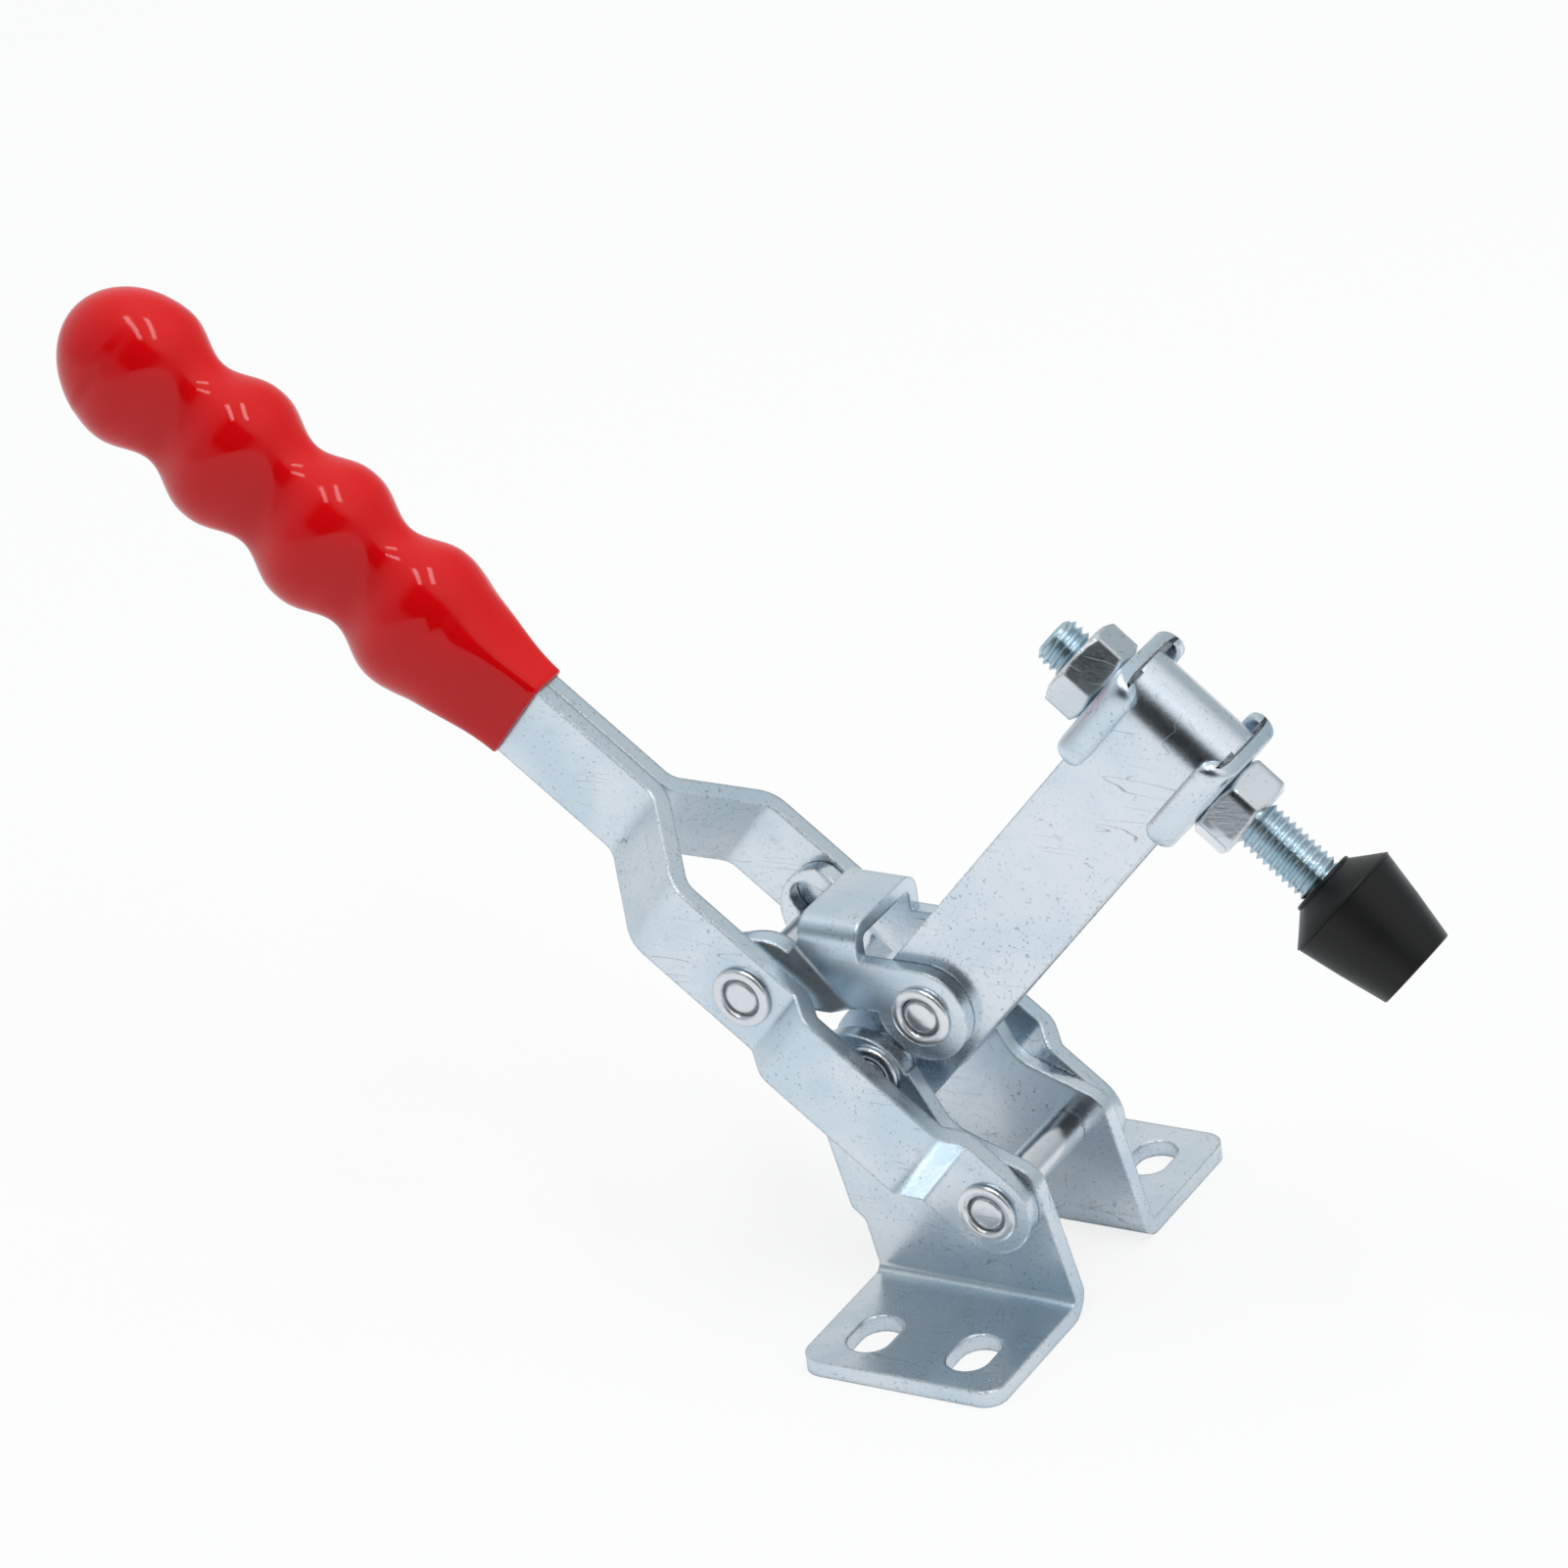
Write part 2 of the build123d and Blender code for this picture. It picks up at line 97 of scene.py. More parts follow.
def add(tree, kind, inputs=None, **settings):
    """A shader node with its settings, and its inputs as numbers or other nodes' outputs."""
    node = tree.nodes.new("ShaderNode" + kind)
    for key, value in settings.items():
        setattr(node, key, value)
    for key, value in (inputs or {}).items():
        if isinstance(value, bpy.types.NodeSocket):
            tree.links.new(value, node.inputs[key])
        else:
            node.inputs[key].default_value = value
    return node


def maths(tree, operation, a, b=0.5):
    """The output of one Math node."""
    return add(tree, "Math", {0: a, 1: b}, operation=operation).outputs[0]


def dot_product(tree, a, b):
    """The dot product of two directions: 1 where they agree, -1 where they are opposite."""
    return add(tree, "VectorMath", {0: a, 1: b}, operation="DOT_PRODUCT").outputs["Value"]


def ramp(tree, value, low, high, to_low=0.0, to_high=1.0):
    """A soft step: to_low at low, to_high at high, and held beyond both."""
    inputs = {"Value": value, "From Min": low, "From Max": high}
    inputs.update({"To Min": to_low, "To Max": to_high})
    return add(tree, "MapRange", inputs, interpolation_type="SMOOTHSTEP").outputs[0]


def blend_colour(tree, factor, a, b):
    """The output of one colour mix; a and b are colours or sockets."""
    node = add(tree, "Mix", data_type="RGBA", blend_type="MIX")
    for key, value in ((0, factor), (6, a), (7, b)):
        if isinstance(value, bpy.types.NodeSocket):
            tree.links.new(value, node.inputs[key])
        else:
            node.inputs[key].default_value = value
    return node.outputs[2]


def noise(tree, where, scale, detail=3.0, roughness=0.55, distortion=0.0):
    """The grey output of a noise texture."""
    inputs = {"Vector": where, "Scale": scale, "Detail": detail}
    inputs.update({"Roughness": roughness, "Distortion": distortion})
    return add(tree, "TexNoise", inputs).outputs[0]


def stretched(tree, where, scale, turn=(0, 0, 0)):
    """Object coordinates, turned and scaled by different amounts along each axis."""
    return add(tree, "Mapping", {"Vector": where, "Rotation": turn, "Scale": scale}).outputs[0]


# ---------------------------------------------------------------- studio
# Places on the sky are (turn, height) in degrees, as in direction(), and the two patches add
# an inner and an outer angle. The dim band's width and length are shares of the way to their axes.
DIM_PLACE = (16, 23)
DIM_AXIS = Vector((-0.775, 0, 0.632))
DIM_WIDTH = (0.36, 0.62)
DIM_LENGTH = (0.36, 0.76)
DIM_FRONT = (0.0, 0.3)
LIT_PATCH = (84, 60, 12, 62)
LIT_LEVEL = 0.42
REAR_PATCH = (-118, 36, 15, 66)
REAR_LEVEL = 0.26
SKY_LEVEL = 0.52
DIM_LEVEL = 0.015
TINT_LEVELS = (0.45, 0.95)
COOL = (0.84, 0.95, 1.0, 1)
WHITE = (1.0, 1.0, 1.0, 1)
LAMP_AIM = Vector((0, 0, 0.06))
# turn, height, distance in metres, side of the square in metres, watts
LAMPS = {
    "key": (78, 52, 1.6, 1.1, 4.4),
    "fill": (-55, 38, 1.8, 1.2, 2.2),
    "top": (160, 70, 1.6, 1.0, 2.6),
}
GRIP_MIDDLE = Vector((-0.1, 0, 0.12))
STRIP_PLACE = (40, 76)
STRIP_DISTANCE = 1.5
STRIP_GAP = 0.70
STRIP_SIZE = (0.20, 0.95)
STRIP_GLOW = 7.0
FLOOR_HALF = 6.0
FLOOR_PAINT = (0.78, 0.79, 0.80, 1)
# The share of plain white light in the floor: for every ray, and added for the camera's rays
FLOOR_GLOW = 0.12
FLOOR_GLOW_SEEN = 0.69


def sky():
    """A graded pale sky, dim behind the camera and brighter at two sides; the camera sees white."""
    world = bpy.data.worlds.new("studio")
    scene.world = world
    world.use_nodes = True
    tree = world.node_tree
    tree.nodes.clear()
    way = add(tree, "TexCoord").outputs["Generated"]

    def patch(turn, height, inner, outer):
        """1 inside an angle round a place on the sky, 0 outside the outer one."""
        nearness = dot_product(tree, way, direction(turn, height))
        return ramp(tree, nearness, math.cos(math.radians(outer)), math.cos(math.radians(inner)))

    def along(axis, low, high):
        """1 near the plane across an axis, 0 beyond a share of the way to the axis."""
        return ramp(tree, maths(tree, "ABSOLUTE", dot_product(tree, way, axis)), high, low)

    # The dim band, kept to the front and longer from the upper left to the lower right
    middle = direction(*DIM_PLACE)
    length = (DIM_AXIS - middle * DIM_AXIS.dot(middle)).normalized()
    narrow = along(middle.cross(length), *DIM_WIDTH)
    dim = maths(tree, "MULTIPLY", narrow, along(length, *DIM_LENGTH))
    front = ramp(tree, dot_product(tree, way, middle), *DIM_FRONT)
    dim = maths(tree, "MULTIPLY", dim, front)
    lit = maths(tree, "MULTIPLY", patch(*LIT_PATCH), LIT_LEVEL)
    rear = maths(tree, "MULTIPLY", patch(*REAR_PATCH), REAR_LEVEL)
    level = maths(tree, "ADD", maths(tree, "ADD", lit, rear), SKY_LEVEL)
    level = maths(tree, "MULTIPLY", level, maths(tree, "SUBTRACT", 1.0, dim))
    level = maths(tree, "ADD", level, DIM_LEVEL)
    tint = blend_colour(tree, ramp(tree, level, *TINT_LEVELS), COOL, WHITE)
    light = add(tree, "Background", {"Color": tint, "Strength": level}).outputs[0]
    white = add(tree, "Background", {"Color": WHITE, "Strength": 1.0}).outputs[0]
    camera_ray = add(tree, "LightPath").outputs["Is Camera Ray"]
    both = add(tree, "MixShader", {0: camera_ray, 1: light, 2: white}).outputs[0]
    add(tree, "OutputWorld", {"Surface": both})


def area_lamp(name, size, power, place, facing):
    """A rectangular lamp at a place, turned by a matrix whose Z points away from its light."""
    lamp = bpy.data.lights.new(name, "AREA")
    lamp.shape = "RECTANGLE"
    lamp.size, lamp.size_y = size
    lamp.energy = power
    holder = bpy.data.objects.new(name, lamp)
    holder.matrix_world = Matrix.Translation(place) @ facing
    scene.collection.objects.link(holder)
    return holder


def soft_lamp(name, turn, height, distance, side, power):
    """A soft square lamp on the sky, aimed at the clamp and left out of its reflections."""
    back = direction(turn, height)
    facing = back.to_track_quat("Z", "Y").to_matrix().to_4x4()
    area_lamp(name, (side, side), power, LAMP_AIM + back * distance, facing).visible_glossy = False


def strip_pair():
    """Two narrow lamps side by side, which show as two thin lines in glossy skin."""
    back = direction(*STRIP_PLACE)
    turn = math.radians(STRIP_PLACE[0])
    sideways = Vector((math.cos(turn), math.sin(turn), 0))
    facing = Matrix((sideways, back.cross(sideways), back)).transposed().to_4x4()
    power = math.pi * STRIP_GLOW * STRIP_SIZE[0] * STRIP_SIZE[1]
    for name, offset in (("strip_a", -STRIP_GAP / 2), ("strip_b", STRIP_GAP / 2)):
        place = GRIP_MIDDLE + back * STRIP_DISTANCE + sideways * offset
        area_lamp(name, STRIP_SIZE, power, place, facing)


def studio_floor():
    """The pale floor: it shows white to the camera and keeps part of the clamp's shadow."""
    half = FLOOR_HALF
    mesh = bpy.data.meshes.new("floor")
    corners = [(-half, -half, 0), (half, -half, 0), (half, half, 0), (-half, half, 0)]
    mesh.from_pydata(corners, [], [(0, 1, 2, 3)])
    floor = bpy.data.objects.new("floor", mesh)
    scene.collection.objects.link(floor)
    material, tree = new_material("floor_paint")
    camera_ray = add(tree, "LightPath").outputs["Is Camera Ray"]
    paint = add(tree, "BsdfDiffuse", {"Color": FLOOR_PAINT}).outputs[0]
    glow = add(tree, "Emission", {"Color": WHITE, "Strength": 1.0}).outputs[0]
    seen = maths(tree, "ADD", maths(tree, "MULTIPLY", camera_ray, FLOOR_GLOW_SEEN), FLOOR_GLOW)
    both = add(tree, "MixShader", {0: seen, 1: paint, 2: glow}).outputs[0]
    add(tree, "OutputMaterial", {"Surface": both})
    mesh.materials.append(material)


sky()
studio_floor()
for lamp_name, lamp_values in LAMPS.items():
    soft_lamp(lamp_name, *lamp_values)
strip_pair()


# ---------------------------------------------------------------- finishes
SCRATCH_TURNS = ((0.3, 0.9, 0.2), (0.2, 1.9, 0.3), (1.2, 0.1, 0.9), (0.9, 2.6, 0.4))
DULL_GREY = (0.30, 0.33, 0.37, 1)
PIT_GREY = (0.24, 0.26, 0.29, 1)
SCRATCH_GREY = (0.22, 0.23, 0.25, 1)
CHIP_GREY = (0.22, 0.23, 0.24, 1)
# The pale colour painted along every edge as a highlight
EDGE_HIGHLIGHT_PALE = (0.86, 0.87, 0.88, 1)
EDGE_ROUNDING = 0.0007


def scratch_marks(tree, where):
    """Thin broken scratches in four directions: 1 on a scratch, 0 beside it."""
    marks = None
    for turn in SCRATCH_TURNS:
        thread = noise(tree, stretched(tree, where, (32, 290, 290), turn), 1.0, 1, 0.4, 0.5)
        middle = maths(tree, "ABSOLUTE", maths(tree, "SUBTRACT", thread, 0.5))
        line = ramp(tree, middle, 0.006, 0.0)
        parts = noise(tree, stretched(tree, where, (75, 75, 75), turn), 1.0, 1)
        line = maths(tree, "MULTIPLY", line, ramp(tree, parts, 0.60, 0.66))
        marks = line if marks is None else maths(tree, "MAXIMUM", marks, line)
    return marks


def zinc(name, pale, blue, rough=0.23, grain=1.0, scratches=1.0):
    """Blue-passivated zinc: blue patches, grain, pits, streaks, scratches and a painted edge
    highlight.
    """
    material, tree = new_material(name)
    where = add(tree, "TexCoord").outputs["Object"]
    cloud = noise(tree, where, 55, 3, 0.6, 0.4)
    fleck = noise(tree, where, 1500, 2, 0.6)
    spots = noise(tree, where, 420, 3, 0.65)
    # Patches of blue, dull spots, pits and scratches
    tone = ramp(tree, cloud, 0.35, 0.68)
    colour = blend_colour(tree, tone, pale, blue)
    dull = ramp(tree, spots, 0.60, 0.78, 0.0, 0.22 * grain)
    colour = blend_colour(tree, dull, colour, DULL_GREY)
    pits = ramp(tree, noise(tree, where, 1700, 2, 0.5), 0.62, 0.70)
    pits = maths(tree, "MULTIPLY", pits, 0.6 * grain)
    crowd = ramp(tree, noise(tree, where, 90, 2, 0.5), 0.38, 0.62, 0.3, 1.0)
    colour = blend_colour(tree, maths(tree, "MULTIPLY", pits, crowd), colour, PIT_GREY)
    rolled = noise(tree, stretched(tree, where, (60, 900, 2200)), 1.0, 2, 0.5)
    marks = maths(tree, "MULTIPLY", scratch_marks(tree, where), scratches)
    colour = blend_colour(tree, maths(tree, "MULTIPLY", marks, 0.65), colour, SCRATCH_GREY)
    # Edges: a pale highlight painted along them, with small dark chips beside them
    edge = add(tree, "Bevel", {"Radius": EDGE_ROUNDING}, samples=4).outputs[0]
    flat = add(tree, "NewGeometry").outputs["Normal"]
    turn_away = dot_product(tree, edge, flat)
    # Painted highlight: pale colour along every edge, broken up by the spot noise
    painted_edge_highlight = ramp(tree, turn_away, 0.995, 0.90)
    painted_edge_highlight = maths(tree, "MULTIPLY", painted_edge_highlight, ramp(tree, spots, 0.42, 0.62, 0.25, 1.0))
    colour = blend_colour(tree, maths(tree, "MULTIPLY", painted_edge_highlight, 0.6), colour, EDGE_HIGHLIGHT_PALE)
    chips = ramp(tree, noise(tree, where, 1300, 3, 0.7), 0.54, 0.62)
    near_edge = ramp(tree, turn_away, 0.999, 0.97)
    chips = maths(tree, "MULTIPLY", maths(tree, "MULTIPLY", chips, near_edge), 0.55 * grain)
    colour = blend_colour(tree, chips, colour, CHIP_GREY)
    # Gloss, then the relief of grain, rolling streaks, spots and scratches
    gloss = ramp(tree, cloud, 0.3, 0.7, rough - 0.05, rough + 0.06)
    gloss = maths(tree, "ADD", gloss, maths(tree, "MULTIPLY", fleck, 0.10 * grain))
    gloss = maths(tree, "ADD", gloss, maths(tree, "MULTIPLY", marks, 0.15))
    height = maths(tree, "MULTIPLY", fleck, 0.35 * grain)
    height = maths(tree, "ADD", height, maths(tree, "MULTIPLY", rolled, 0.5))
    height = maths(tree, "ADD", height, maths(tree, "MULTIPLY", spots, 0.9 * grain))
    height = maths(tree, "SUBTRACT", height, maths(tree, "MULTIPLY", marks, 0.8))
    relief = {"Strength": 0.25, "Distance": 0.00006, "Height": height, "Normal": edge}
    bump = add(tree, "Bump", relief).outputs[0]
    inputs = {"Base Color": colour, "Metallic": 1.0, "Roughness": gloss, "Normal": bump}
    shader = add(tree, "BsdfPrincipled", inputs).outputs[0]
    add(tree, "OutputMaterial", {"Surface": shader})
    return material


SOFT_IOR = 1.36


def vinyl(name):
    """Glossy dipped red vinyl with faint waves in its skin."""
    material, tree = new_material(name)
    where = add(tree, "TexCoord").outputs["Object"]
    cloud = noise(tree, where, 60, 2, 0.5)
    colour = blend_colour(tree, cloud, (0.57, 0.0015, 0.003, 1), (0.65, 0.003, 0.005, 1))
    skin = noise(tree, where, 140, 2, 0.5)
    dust = noise(tree, where, 2600, 1, 0.5)
    gloss = ramp(tree, cloud, 0.3, 0.7, 0.07, 0.12)
    height = maths(tree, "ADD", skin, maths(tree, "MULTIPLY", dust, 0.03))
    bump = add(tree, "Bump", {"Strength": 0.12, "Distance": 0.0004, "Height": height}).outputs[0]
    inputs = {"Base Color": colour, "Roughness": gloss, "Normal": bump, "IOR": SOFT_IOR}
    shader = add(tree, "BsdfPrincipled", inputs)
    add(tree, "OutputMaterial", {"Surface": shader.outputs[0]})
    return material


def rubber(name):
    """Moulded black rubber with a fine dull grain."""
    material, tree = new_material(name)
    where = add(tree, "TexCoord").outputs["Object"]
    fine = noise(tree, where, 1800, 3, 0.6)
    cloud = noise(tree, where, 130, 3, 0.6)
    colour = blend_colour(tree, cloud, (0.003, 0.003, 0.003, 1), (0.008, 0.008, 0.008, 1))
    gloss = ramp(tree, cloud, 0.3, 0.7, 0.30, 0.42)
    bump = add(tree, "Bump", {"Strength": 0.25, "Distance": 0.00008, "Height": fine}).outputs[0]
    inputs = {"Base Color": colour, "Roughness": gloss, "Normal": bump, "IOR": SOFT_IOR}
    shader = add(tree, "BsdfPrincipled", inputs)
    add(tree, "OutputMaterial", {"Surface": shader.outputs[0]})
    return material


# Each zinc has its pale and blue colours, then its roughness, grain and share of scratches
sheet = zinc("zinc_sheet", (0.72, 0.785, 0.84, 1), (0.61, 0.72, 0.80, 1))
bar_skin = zinc("zinc_bar", (0.75, 0.80, 0.85, 1), (0.67, 0.76, 0.84, 1), 0.19)
bright = zinc("zinc_bright", (0.80, 0.81, 0.83, 1), (0.72, 0.75, 0.78, 1), 0.14, 0.4, 0.4)
nut_zinc = zinc("zinc_nut", (0.74, 0.77, 0.80, 1), (0.66, 0.72, 0.77, 1), 0.13, 0.7, 0.6)
thread_zinc = zinc("zinc_thread", (0.54, 0.68, 0.76, 1), (0.40, 0.58, 0.68, 1), 0.17, 0.5, 0.2)
red = vinyl("red_vinyl")
black = rubber("black_rubber")


# ---------------------------------------------------------------- places, in millimetres
def deg(angle):
    """Cosine and sine of an angle in degrees."""
    return math.cos(math.radians(angle)), math.sin(math.radians(angle))


BAR_ANGLE = 49.0
HANDLE_ANGLE = 140.8
B_TO_C = 13.18
A_TO_D = 50.0
C_TO_SPINDLE = 64.3
BAR_X, BAR_Z = deg(BAR_ANGLE)
GRIP_X, GRIP_Z = deg(HANDLE_ANGLE)
PIVOT_A = (0.0, 19.1)
PIVOT_B = (-19.6, 38.45)
PIVOT_C = (PIVOT_B[0] + B_TO_C * BAR_X, PIVOT_B[1] + B_TO_C * BAR_Z)
PIVOT_D = (A_TO_D * GRIP_X, PIVOT_A[1] + A_TO_D * GRIP_Z)
SPINDLE_FOOT = Vector((PIVOT_C[0] + C_TO_SPINDLE * BAR_X, 0, PIVOT_C[1] + C_TO_SPINDLE * BAR_Z))
SPINDLE_WAY = Vector((BAR_Z, 0, -BAR_X))
SPINDLE_SIDE = Vector((BAR_X, 0, BAR_Z))
GRIP_WAY = Vector((GRIP_X, 0, GRIP_Z))
GRIP_ACROSS = Vector((-GRIP_Z, 0, GRIP_X))


def mesh_piece(name, points, faces, finish, body, node, sharp=35):
    """A mesh piece in millimetres that stands for a CAD node and rides on its body.

    Edges that turn by more than sharp, in degrees, are drawn crisp.
    """
    mesh = bpy.data.meshes.new(name)
    mesh.from_pydata([tuple(c * MM for c in p) for p in points], [], faces)
    mesh.validate()
    mesh.update()
    mesh.polygons.foreach_set("use_smooth", [True] * len(mesh.polygons))
    mesh.set_sharp_from_angle(angle=math.radians(sharp))
    piece = bpy.data.objects.new(name, mesh)
    scene.collection.objects.link(piece)
    mesh.materials.append(finish)
    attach(piece, body)
    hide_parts(node)
    return piece


def tube_mesh(rings, closed=True):
    """Points and faces of a skin over rings of equal length, capped at both ends when closed."""
    count = len(rings[0])
    points = [p for ring in rings for p in ring]
    faces = []
    for level in range(len(rings) - 1):
        low = level * count
        for index in range(count):
            after = (index + 1) % count
            faces.append((low + index, low + after, low + count + after, low + count + index))
    if closed:
        faces.append(tuple(range(count - 1, -1, -1)))
        last = (len(rings) - 1) * count
        faces.append(tuple(range(last, last + count)))
    return points, faces


def round_rings(profile, origin, way, side, count=64, radius_at=None):
    """Rings round an axis from (distance, radius) pairs; radius_at may change a radius by angle."""
    other = way.cross(side)
    rings = []
    for distance, radius in profile:
        ring = []
        for index in range(count):
            angle = 2 * math.pi * index / count
            r = radius_at(distance, radius, angle) if radius_at else radius
            out = side * (r * math.cos(angle)) + other * (r * math.sin(angle))
            ring.append(origin + way * distance + out)
        rings.append(ring)
    return rings


def arc(centre, radius, start, end, steps=6):
    """(distance, radius) points on an arc, with its angles in degrees."""
    points = []
    for step in range(steps + 1):
        angle = math.radians(start + (end - start) * step / steps)
        points.append((centre[0] + radius * math.sin(angle), centre[1] + radius * math.cos(angle)))
    return points


# ---------------------------------------------------------------- rivets
HEAD_GAP = 0.05
HEAD_HEIGHT = 0.9
# A small ring in place of the one point on an axis
AXIS_RADIUS = 0.05


def rivet(key, place, reach, body):
    """A turned rivet: a rounded ring head each end, with the shank's pale disc sunk inside it."""
    seat = reach + HEAD_GAP
    top = seat + HEAD_HEIGHT
    # The underside, the rounded ring, the groove inside it, then the sunk disc
    head = [(seat, 2.05), (seat, 4.70)]
    head += arc((seat + 0.30, 4.65), 0.30, -80, 0, 4)
    head += arc((top - 0.42, 4.53), 0.42, 0, 84, 6)
    head += arc((top - 0.34, 3.62), 0.34, 96, 180, 5)
    head += [(top - 0.68, 3.22), (top - 0.80, 3.10), (top - 0.80, 2.72)]
    head += arc((top - 0.46, 2.44), 0.16, 0, 88, 3)
    head += [(top - 0.28, 1.7), (top - 0.26, 0.6), (top - 0.26, AXIS_RADIUS)]
    profile = [(-d, r) for d, r in reversed(head)] + head
    origin = Vector((place[0], 0, place[1]))
    rings = round_rings(profile, origin, Vector((0, -1, 0)), Vector((1, 0, 0)), 56)
    points, faces = tube_mesh(rings)
    mesh_piece("rivet_head_" + key, points, faces, bright, body, "rivet_" + key, 50)


# ---------------------------------------------------------------- spindle
THREAD_PITCH = 1.25
THREAD_ROOT = 3.3
THREAD_CREST = 3.97
THREAD_STEPS = 10
CHAMFER_RADIUS = 2.75
CHAMFER_SLOPE = 1.25
SPINDLE_RADIUS = 4.0
SPINDLE_TOP = -22.7
SPINDLE_END = 34.8


def thread_radius(distance, radius, angle):
    """The rolled thread, winding round and dying out in the end chamfers.

    It takes the place of the profile's plain radius.
    """
    turn = (distance / THREAD_PITCH - angle / (2 * math.pi)) % 1.0
    ridge = abs(2 * turn - 1)
    ridge = min(1.0, max(0.0, (ridge - 0.10) / 0.80))
    wound = THREAD_ROOT + (THREAD_CREST - THREAD_ROOT) * ridge
    near_end = min(distance - SPINDLE_TOP, SPINDLE_END - distance)
    return min(wound, CHAMFER_RADIUS + CHAMFER_SLOPE * max(0.0, near_end))


def threaded_spindle():
    """The spindle with its whole thread, down to the socket in the tip."""
    step = THREAD_PITCH / THREAD_STEPS
    count = int((SPINDLE_END - SPINDLE_TOP) / step)
    profile = [(SPINDLE_TOP + index * step, SPINDLE_RADIUS) for index in range(count + 1)]
    profile.append((SPINDLE_END, SPINDLE_RADIUS))
    rings = round_rings(profile, SPINDLE_FOOT, SPINDLE_WAY, SPINDLE_SIDE, 48, thread_radius)
    points, faces = tube_mesh(rings)
    name = "threaded_spindle"
    mesh_piece(name, points, faces, thread_zinc, "spindle", "spindle", 60)


# ---------------------------------------------------------------- nuts
NUT_HALF_FLATS = 6.5
NUT_HEIGHT = 6.5
NUT_BORE = 4.06
NUT_COUNTERSINK = 4.75
NUT_COUNTERSINK_DEPTH = 0.7
NUT_FACE = 6.05
NUT_CORNER_SLOPE = 1.75
NUT_COUNT = 72
NUT_DEPTHS = [0, 0.12, 0.24, 0.36, 0.48, 0.60, 0.72, 0.84]
# Stands for the outside in the profile, where hexagon() sets the real radius
NUT_OUTSIDE = 9


def nut(node, start, turn):
    """A hexagon nut, its corners turned off at both faces, with a countersunk bore."""
    end = start + NUT_HEIGHT

    def hexagon(distance, radius, angle):
        if radius < NUT_FACE:
            return radius
        part = (math.degrees(angle) + turn) % 60 - 30
        side = NUT_HALF_FLATS / math.cos(math.radians(part))
        near = min(distance - start, end - distance)
        return min(side, NUT_FACE + NUT_CORNER_SLOPE * near)

    outer = [(start + d, NUT_OUTSIDE) for d in NUT_DEPTHS]
    outer += [(end - d, NUT_OUTSIDE) for d in reversed(NUT_DEPTHS)]
    inner = [(end, NUT_COUNTERSINK), (end - NUT_COUNTERSINK_DEPTH, NUT_BORE)]
    inner += [(start + NUT_COUNTERSINK_DEPTH, NUT_BORE), (start, NUT_COUNTERSINK)]
    rings = round_rings(outer + inner, SPINDLE_FOOT, SPINDLE_WAY, SPINDLE_SIDE, NUT_COUNT, hexagon)
    # The first ring comes round again after the last one, so the skin closes through the bore
    points, faces = tube_mesh(rings + [rings[0]], closed=False)
    total = NUT_COUNT * len(rings)
    faces = [tuple(i % total for i in face) for face in faces]
    mesh_piece(node + "_hexagon", points[:total], faces, nut_zinc, node, node, 28)


# ---------------------------------------------------------------- tip
def rubber_tip():
    """The moulded tip: a collar, a flared shoulder with a crisp rim, and a tapered foot."""
    # From the foot up to the collar, then down into the socket
    profile = [(50.0, AXIS_RADIUS), (50.0, 6.3)]
    profile += arc((49.65, 6.45), 0.35, 90, 10, 4)
    profile += [(42.5, 8.32), (35.6, 9.62)]
    profile += arc((35.25, 9.50), 0.26, 80, -40, 5)
    profile += [(33.4, 7.55), (31.6, 5.35)]
    profile += arc((31.35, 4.95), 0.40, 40, -90, 4)
    profile += [(30.9, 4.4), (31.3, 4.05), (34.9, 4.05), (34.9, AXIS_RADIUS)]
    rings = round_rings(profile[::-1], SPINDLE_FOOT, SPINDLE_WAY, SPINDLE_SIDE, 72)
    points, faces = tube_mesh(rings)
    mesh_piece("rubber_tip", points, faces, black, "spindle", "tip", 40)


# ---------------------------------------------------------------- grip
GRIP_START = 105.3
GRIP_END = 202.0
FIRST_BULGE = 22.6
FINGER_PITCH = 19.6
LAST_BULGE = FIRST_BULGE + 3 * FINGER_PITCH
NUB_RISE = 0.8
MOUTH_HIGH = 8.35
MOUTH_WIDE = 4.55
BULGE_HIGH = 13.1
BULGE_WIDE = 10.1
WAIST_LOSS_HIGH = 2.75
WAIST_LOSS_WIDE = 2.3
SIDE_PINCH = 1.3
SQUARENESS = 2.3
MOUTH_SQUARENESS = 5.2
MOUTH_SQUARENESS_LOSS = 2.9
GRIP_OFFSET = -0.2
GRIP_COUNT = 96
STATION_START = 0.35
STATION_STEP = 0.9
ROUNDED_END = 8
# Half height, half width, depth, and place of the drip nub
NUB_HIGH = 2.8
NUB_WIDE = 3.0
NUB_DEEP = 1.5
NUB_BACK = 1.9
NUB_ASIDE = 3.3
NUB_UP = 0.4


def smooth(low, high, value):
    """0 below low, 1 above high, and a soft step between."""
    t = min(1.0, max(0.0, (value - low) / (high - low)))
    return t * t * (3 - 2 * t)


def finger_wave(d):
    """0 at a bead's middle and 1 at the waist between two beads."""
    return math.sin(math.pi * (d - FIRST_BULGE) / FINGER_PITCH) ** 2


